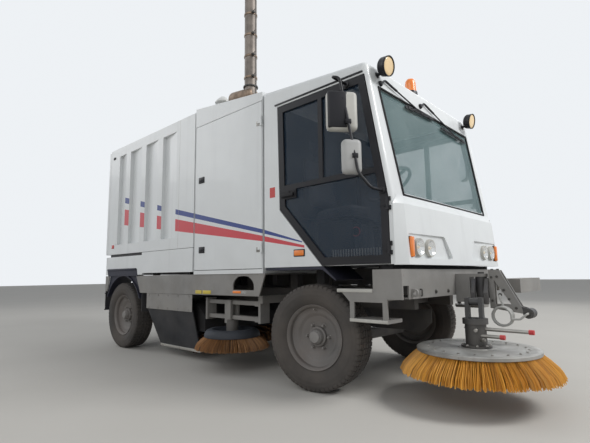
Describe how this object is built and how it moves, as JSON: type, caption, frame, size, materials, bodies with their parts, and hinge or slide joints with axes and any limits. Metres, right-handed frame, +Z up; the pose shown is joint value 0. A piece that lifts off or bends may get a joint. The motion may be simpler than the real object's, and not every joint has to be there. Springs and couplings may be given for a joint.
{
  "type": "street sweeper truck",
  "caption": "Street sweeper truck with a boxy cab, tipping fluted hopper, steered front wheels, two side brushes, a roller brush and a front brush on a swinging arm.",
  "frame": {"origin": "on the ground under the middle of the bounding box", "axes": "+X forward, +Y to the vehicle's left, +Z up"},
  "size_m": [5.62, 2.6054, 3.9199],
  "materials": {
    "white_paint": "satin white paint",
    "chassis_black": "dusty black paint",
    "grey_paint": "dusty grey paint",
    "black_trim": "matt black",
    "dash_plastic": "matt dark grey",
    "glass": "clear with a green tint",
    "lamp_glass": "clear lens",
    "amber_plastic": "glossy amber",
    "seat_fabric": "dark woven cloth",
    "rubber": "dusty black rubber",
    "tyre_rubber": "dusty tyre",
    "rim_paint": "dusty grey paint",
    "front_bristle": "orange-yellow bristles",
    "side_bristle": "worn orange-brown bristles",
    "exhaust_metal": "weathered steel"
  },
  "bodies": {
    "chassis": {"chassis_frame": "chassis_black", "body_subframe": "chassis_black", "body_mounts": "chassis_black", "front_beam": "grey_paint", "front_locker": "grey_paint", "steps": "grey_paint", "engine": "chassis_black", "front_axle": "chassis_black", "rear_axle": "chassis_black", "cab_shell": "white_paint", "windscreen": "glass", "front_fascia": "white_paint", "vehicle_lamps": "lamp_glass", "work_lamps": "black_trim", "beacon": "amber_plastic", "wipers": "black_trim", "dashboard": "dash_plastic", "seats": "seat_fabric", "cabinet_shell": "white_paint", "lower_panels": "white_paint", "mudguards": "black_trim", "side_skirts": "grey_paint", "sweeper_hood": "grey_paint", "rubber_skirts": "rubber", "side_posts": "grey_paint", "exhaust_stack": "exhaust_metal"},
    "door_right": {"door_right": "black_trim", "door_glass_right": "glass", "mirror_right": "black_trim"},
    "cabinet_door_right": {"cabinet_door_right": "white_paint"},
    "knuckle_right": {"knuckle_right": "chassis_black"},
    "wheel_front_right": {"tyre_front_right": "tyre_rubber", "rim_front_right": "rim_paint"},
    "wheel_rear_right": {"tyre_rear_right": "tyre_rubber", "rim_rear_right": "rim_paint"},
    "side_upper_link_right": {"side_upper_link_right": "grey_paint"},
    "side_lower_link_right": {"side_lower_link_right": "grey_paint"},
    "side_carrier_right": {"side_carrier_right": "grey_paint"},
    "side_brush_right": {"side_brush_right": "side_bristle"},
    "door_left": {"door_left": "black_trim", "door_glass_left": "glass", "mirror_left": "black_trim"},
    "cabinet_door_left": {"cabinet_door_left": "white_paint"},
    "knuckle_left": {"knuckle_left": "chassis_black"},
    "wheel_front_left": {"tyre_front_left": "tyre_rubber", "rim_front_left": "rim_paint"},
    "wheel_rear_left": {"tyre_rear_left": "tyre_rubber", "rim_rear_left": "rim_paint"},
    "side_upper_link_left": {"side_upper_link_left": "grey_paint"},
    "side_lower_link_left": {"side_lower_link_left": "grey_paint"},
    "side_carrier_left": {"side_carrier_left": "grey_paint"},
    "side_brush_left": {"side_brush_left": "side_bristle"},
    "hopper": {"hopper_body": "white_paint"},
    "tailgate": {"hopper_tailgate": "white_paint"},
    "main_brush": {"main_brush": "side_bristle"},
    "front_swing": {"front_swing": "grey_paint"},
    "front_arm": {"front_arm": "grey_paint"},
    "front_carrier": {"front_carrier": "grey_paint"},
    "front_brush": {"front_brush": "front_bristle"}
  },
  "joints": [
    {"name": "door_right_hinge", "type": "hinge", "parent": "chassis", "child": "door_right", "pos_m": [1.914, -1.0123, 1.3], "axis": [0, 0, 1], "range_deg": [0, 70]},
    {"name": "cabinet_door_right_hinge", "type": "hinge", "parent": "chassis", "child": "cabinet_door_right", "pos_m": [0.576, -1.0123, 1.8], "axis": [0, 0, 1], "range_deg": [0, 105]},
    {"name": "steer_right", "type": "hinge", "parent": "chassis", "child": "knuckle_right", "pos_m": [1.12, -0.745, 0.43], "axis": [0, 0, 1], "range_deg": [-41.2, 22.8]},
    {"name": "wheel_front_right_spin", "type": "hinge", "parent": "knuckle_right", "child": "wheel_front_right", "pos_m": [1.13999, -0.86839, 0.43], "axis": [0.1599, -0.9871, 0], "continuous": true},
    {"name": "wheel_rear_right_spin", "type": "hinge", "parent": "chassis", "child": "wheel_rear_right", "pos_m": [-2.24, -0.87, 0.43], "axis": [0, -1, 0], "continuous": true},
    {"name": "side_upper_link_right_lift", "type": "hinge", "parent": "chassis", "child": "side_upper_link_right", "pos_m": [0.36, -0.82, 0.665], "axis": [0, -1, 0], "range_deg": [0, 26.5]},
    {"name": "side_lower_link_right_lift", "type": "hinge", "parent": "chassis", "child": "side_lower_link_right", "pos_m": [0.36, -0.82, 0.515], "axis": [0, -1, 0], "range_deg": [0, 26.5]},
    {"name": "side_carrier_right_level", "type": "hinge", "parent": "side_upper_link_right", "child": "side_carrier_right", "pos_m": [-0.06, -0.82, 0.665], "axis": [0, -1, 0], "range_deg": [-26.5, 0]},
    {"name": "side_brush_right_spin", "type": "hinge", "parent": "side_carrier_right", "child": "side_brush_right", "pos_m": [-0.08, -0.82, 0.34], "axis": [0, 0, 1], "continuous": true},
    {"name": "door_left_hinge", "type": "hinge", "parent": "chassis", "child": "door_left", "pos_m": [1.914, 1.0123, 1.3], "axis": [0, 0, -1], "range_deg": [0, 70]},
    {"name": "cabinet_door_left_hinge", "type": "hinge", "parent": "chassis", "child": "cabinet_door_left", "pos_m": [0.576, 1.0123, 1.8], "axis": [0, 0, -1], "range_deg": [0, 105]},
    {"name": "steer_left", "type": "hinge", "parent": "chassis", "child": "knuckle_left", "pos_m": [1.12, 0.745, 0.43], "axis": [0, 0, 1], "range_deg": [-41.2, 22.8]},
    {"name": "wheel_front_left_spin", "type": "hinge", "parent": "knuckle_left", "child": "wheel_front_left", "pos_m": [1.10001, 0.86839, 0.43], "axis": [-0.1599, 0.9871, 0], "continuous": true},
    {"name": "wheel_rear_left_spin", "type": "hinge", "parent": "chassis", "child": "wheel_rear_left", "pos_m": [-2.24, 0.87, 0.43], "axis": [0, 1, 0], "continuous": true},
    {"name": "side_upper_link_left_lift", "type": "hinge", "parent": "chassis", "child": "side_upper_link_left", "pos_m": [0.36, 0.82, 0.665], "axis": [0, -1, 0], "range_deg": [0, 26.5]},
    {"name": "side_lower_link_left_lift", "type": "hinge", "parent": "chassis", "child": "side_lower_link_left", "pos_m": [0.36, 0.82, 0.515], "axis": [0, -1, 0], "range_deg": [0, 26.5]},
    {"name": "side_carrier_left_level", "type": "hinge", "parent": "side_upper_link_left", "child": "side_carrier_left", "pos_m": [-0.06, 0.82, 0.665], "axis": [0, -1, 0], "range_deg": [-26.5, 0]},
    {"name": "side_brush_left_spin", "type": "hinge", "parent": "side_carrier_left", "child": "side_brush_left", "pos_m": [-0.08, 0.82, 0.34], "axis": [0, 0, 1], "continuous": true},
    {"name": "hopper_tip", "type": "hinge", "parent": "chassis", "child": "hopper", "pos_m": [-2.74, 0, 1.236], "axis": [0, -1, 0], "range_deg": [0, 45]},
    {"name": "tailgate_hinge", "type": "hinge", "parent": "hopper", "child": "tailgate", "pos_m": [-2.746, 0, 2.818], "axis": [0, 1, 0], "range_deg": [0, 80]},
    {"name": "main_brush_spin", "type": "hinge", "parent": "chassis", "child": "main_brush", "pos_m": [-1.05, 0, 0.274], "axis": [0, 1, 0], "continuous": true},
    {"name": "front_swing_turn", "type": "hinge", "parent": "chassis", "child": "front_swing", "pos_m": [2.19, -0.05, 0.84], "axis": [0, 0, 1], "range_deg": [0, 90]},
    {"name": "front_arm_lift", "type": "hinge", "parent": "front_swing", "child": "front_arm", "pos_m": [2.20389, -0.13892, 0.72], "axis": [0.988, 0.1544, 0], "range_deg": [0, 45]},
    {"name": "front_carrier_level", "type": "hinge", "parent": "front_arm", "child": "front_carrier", "pos_m": [2.24, -0.37, 0.72], "axis": [0.988, 0.1544, 0], "range_deg": [-45, 0]},
    {"name": "front_brush_spin", "type": "hinge", "parent": "front_carrier", "child": "front_brush", "pos_m": [2.24, -0.37, 0.38], "axis": [0, 0, 1], "continuous": true}
  ],
  "couplings": [
    {"joint": "side_lower_link_right_lift", "follows": "side_upper_link_right_lift", "ratio": 1},
    {"joint": "side_carrier_right_level", "follows": "side_upper_link_right_lift", "ratio": -1},
    {"joint": "side_lower_link_left_lift", "follows": "side_upper_link_left_lift", "ratio": 1},
    {"joint": "side_carrier_left_level", "follows": "side_upper_link_left_lift", "ratio": -1},
    {"joint": "steer_left", "follows": "steer_right", "ratio": 1},
    {"joint": "front_carrier_level", "follows": "front_arm_lift", "ratio": -1}
  ]
}
